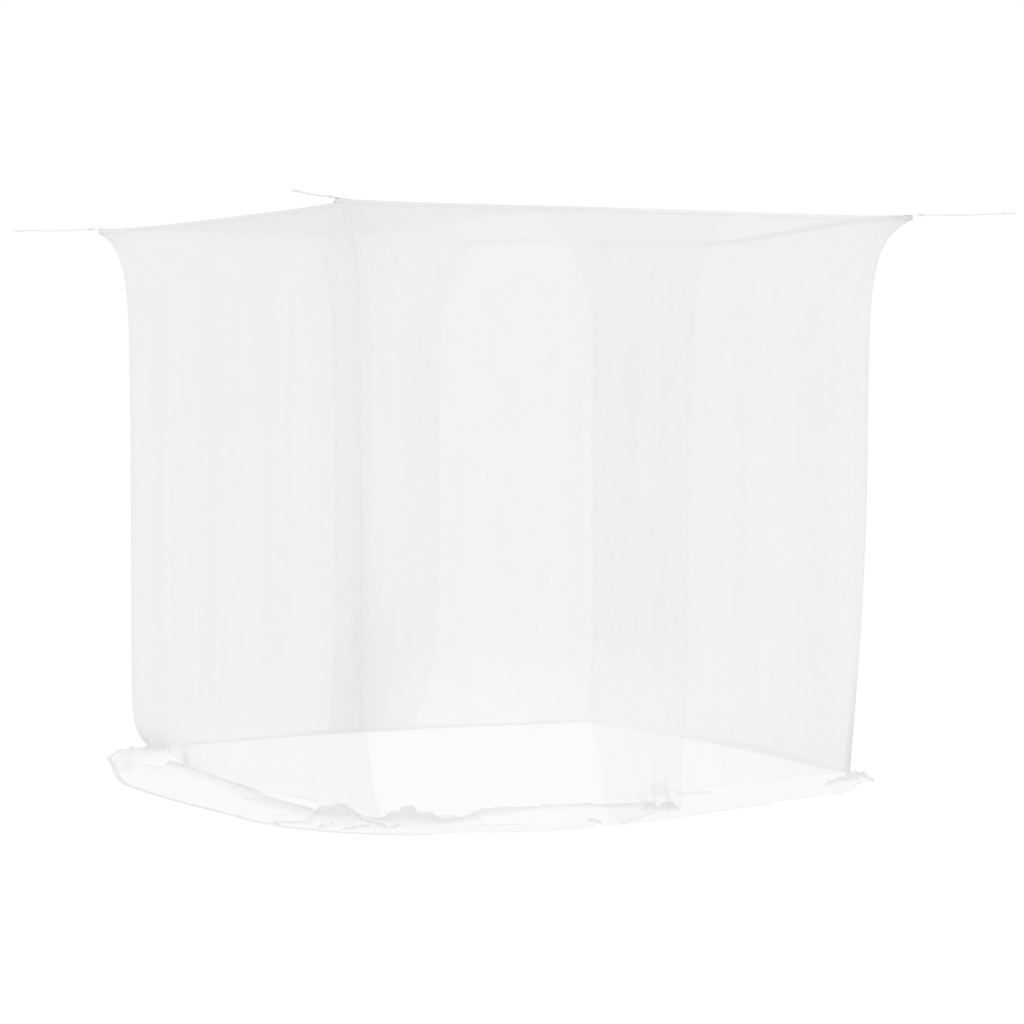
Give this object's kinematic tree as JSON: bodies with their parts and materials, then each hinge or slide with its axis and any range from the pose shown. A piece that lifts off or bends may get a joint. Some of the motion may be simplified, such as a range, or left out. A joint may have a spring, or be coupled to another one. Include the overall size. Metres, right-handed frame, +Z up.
{
  "type": "hanging mosquito net",
  "caption": "Box-shaped hanging mosquito net with a square roof, corner tie strings, plain side walls, overlapping door flaps at front and back, and cloth that reaches out over the floor.",
  "frame": {"origin": "midway between the four roof corners, at the level of the tie strings", "axes": "+Z up, X and Y along the roof's sides; the front wall, with the nearer door, faces -Y"},
  "size_m": [2.519, 2.7623, 1.7976],
  "materials": {
    "roof_panel": "sheer knitted polyester mesh, matt white",
    "left_wall": "sheer knitted polyester mesh, matt white",
    "right_wall": "sheer knitted polyester mesh, matt white",
    "left_hem_tape": "woven polyester tape, matt white",
    "right_hem_tape": "woven polyester tape, matt white",
    "front_roof_tape": "woven polyester tape, matt white",
    "back_roof_tape": "woven polyester tape, matt white",
    "left_roof_tape": "woven polyester tape, matt white",
    "right_roof_tape": "woven polyester tape, matt white",
    "front_left_corner_patch": "woven polyester tape, matt white",
    "front_left_corner_tab": "woven polyester tape, matt white",
    "front_left_seam_tape": "woven polyester tape, matt white",
    "front_left_tab_knot": "braided polyester string, off-white",
    "front_left_tie_string": "braided polyester string, off-white",
    "front_left_end_knot": "braided polyester string, off-white",
    "front_left_string_loop": "braided polyester string, off-white",
    "front_left_door_top": "sheer knitted polyester mesh, matt white",
    "front_left_door_flap": "sheer knitted polyester mesh, matt white",
    "front_left_door_edge_tape": "woven polyester tape, matt white",
    "front_left_door_hem_tape": "woven polyester tape, matt white",
    "front_right_corner_patch": "woven polyester tape, matt white",
    "front_right_corner_tab": "woven polyester tape, matt white",
    "front_right_seam_tape": "woven polyester tape, matt white",
    "front_right_tab_knot": "braided polyester string, off-white",
    "front_right_tie_string": "braided polyester string, off-white",
    "front_right_end_knot": "braided polyester string, off-white",
    "front_right_string_loop": "braided polyester string, off-white",
    "front_right_door_top": "sheer knitted polyester mesh, matt white",
    "front_right_door_flap": "sheer knitted polyester mesh, matt white",
    "front_right_door_edge_tape": "woven polyester tape, matt white",
    "front_right_door_hem_tape": "woven polyester tape, matt white",
    "back_left_corner_patch": "woven polyester tape, matt white",
    "back_left_corner_tab": "woven polyester tape, matt white",
    "back_left_seam_tape": "woven polyester tape, matt white",
    "back_left_tab_knot": "braided polyester string, off-white",
    "back_left_tie_string": "braided polyester string, off-white",
    "back_left_end_knot": "braided polyester string, off-white",
    "back_left_string_loop": "braided polyester string, off-white",
    "back_left_door_top": "sheer knitted polyester mesh, matt white",
    "back_left_door_flap": "sheer knitted polyester mesh, matt white",
    "back_left_door_edge_tape": "woven polyester tape, matt white",
    "back_left_door_hem_tape": "woven polyester tape, matt white",
    "back_right_corner_patch": "woven polyester tape, matt white",
    "back_right_corner_tab": "woven polyester tape, matt white",
    "back_right_seam_tape": "woven polyester tape, matt white",
    "back_right_tab_knot": "braided polyester string, off-white",
    "back_right_tie_string": "braided polyester string, off-white",
    "back_right_end_knot": "braided polyester string, off-white",
    "back_right_string_loop": "braided polyester string, off-white",
    "back_right_door_top": "sheer knitted polyester mesh, matt white",
    "back_right_door_flap": "sheer knitted polyester mesh, matt white",
    "back_right_door_edge_tape": "woven polyester tape, matt white",
    "back_right_door_hem_tape": "woven polyester tape, matt white"
  },
  "bodies": {
    "net": {"roof_panel": "roof_panel", "left_wall": "left_wall", "right_wall": "right_wall", "left_hem_tape": "left_hem_tape", "right_hem_tape": "right_hem_tape", "front_roof_tape": "front_roof_tape", "back_roof_tape": "back_roof_tape", "left_roof_tape": "left_roof_tape", "right_roof_tape": "right_roof_tape", "front_left_corner_patch": "front_left_corner_patch", "front_left_corner_tab": "front_left_corner_tab", "front_left_seam_tape": "front_left_seam_tape", "front_left_tab_knot": "front_left_tab_knot", "front_left_tie_string": "front_left_tie_string", "front_left_end_knot": "front_left_end_knot", "front_left_string_loop": "front_left_string_loop", "front_left_door_top": "front_left_door_top", "front_right_corner_patch": "front_right_corner_patch", "front_right_corner_tab": "front_right_corner_tab", "front_right_seam_tape": "front_right_seam_tape", "front_right_tab_knot": "front_right_tab_knot", "front_right_tie_string": "front_right_tie_string", "front_right_end_knot": "front_right_end_knot", "front_right_string_loop": "front_right_string_loop", "front_right_door_top": "front_right_door_top", "back_left_corner_patch": "back_left_corner_patch", "back_left_corner_tab": "back_left_corner_tab", "back_left_seam_tape": "back_left_seam_tape", "back_left_tab_knot": "back_left_tab_knot", "back_left_tie_string": "back_left_tie_string", "back_left_end_knot": "back_left_end_knot", "back_left_string_loop": "back_left_string_loop", "back_left_door_top": "back_left_door_top", "back_right_corner_patch": "back_right_corner_patch", "back_right_corner_tab": "back_right_corner_tab", "back_right_seam_tape": "back_right_seam_tape", "back_right_tab_knot": "back_right_tab_knot", "back_right_tie_string": "back_right_tie_string", "back_right_end_knot": "back_right_end_knot", "back_right_string_loop": "back_right_string_loop", "back_right_door_top": "back_right_door_top"},
    "front_left_flap": {"front_left_door_flap": "front_left_door_flap", "front_left_door_edge_tape": "front_left_door_edge_tape", "front_left_door_hem_tape": "front_left_door_hem_tape"},
    "front_right_flap": {"front_right_door_flap": "front_right_door_flap", "front_right_door_edge_tape": "front_right_door_edge_tape", "front_right_door_hem_tape": "front_right_door_hem_tape"},
    "back_left_flap": {"back_left_door_flap": "back_left_door_flap", "back_left_door_edge_tape": "back_left_door_edge_tape", "back_left_door_hem_tape": "back_left_door_hem_tape"},
    "back_right_flap": {"back_right_door_flap": "back_right_door_flap", "back_right_door_edge_tape": "back_right_door_edge_tape", "back_right_door_hem_tape": "back_right_door_hem_tape"}
  },
  "joints": [
    {"name": "front_left_flap_fold", "type": "hinge", "parent": "net", "child": "front_left_flap", "pos_m": [-0.8968, -1.0836, -1.7898], "axis": [-0.5813, -0.0887, -0.8089], "range_deg": [0, 85]},
    {"name": "front_right_flap_fold", "type": "hinge", "parent": "net", "child": "front_right_flap", "pos_m": [0.852, -0.8616, -1.79], "axis": [0.5253, 0.0135, -0.8508], "range_deg": [0, 80]},
    {"name": "back_left_flap_fold", "type": "hinge", "parent": "net", "child": "back_left_flap", "pos_m": [-0.857, 0.8662, -1.7899], "axis": [-0.5761, -0.0181, -0.8172], "range_deg": [0, 80]},
    {"name": "back_right_flap_fold", "type": "hinge", "parent": "net", "child": "back_right_flap", "pos_m": [0.8673, 0.9073, -1.7904], "axis": [0.5329, -0.0176, -0.846], "range_deg": [0, 85]}
  ]
}
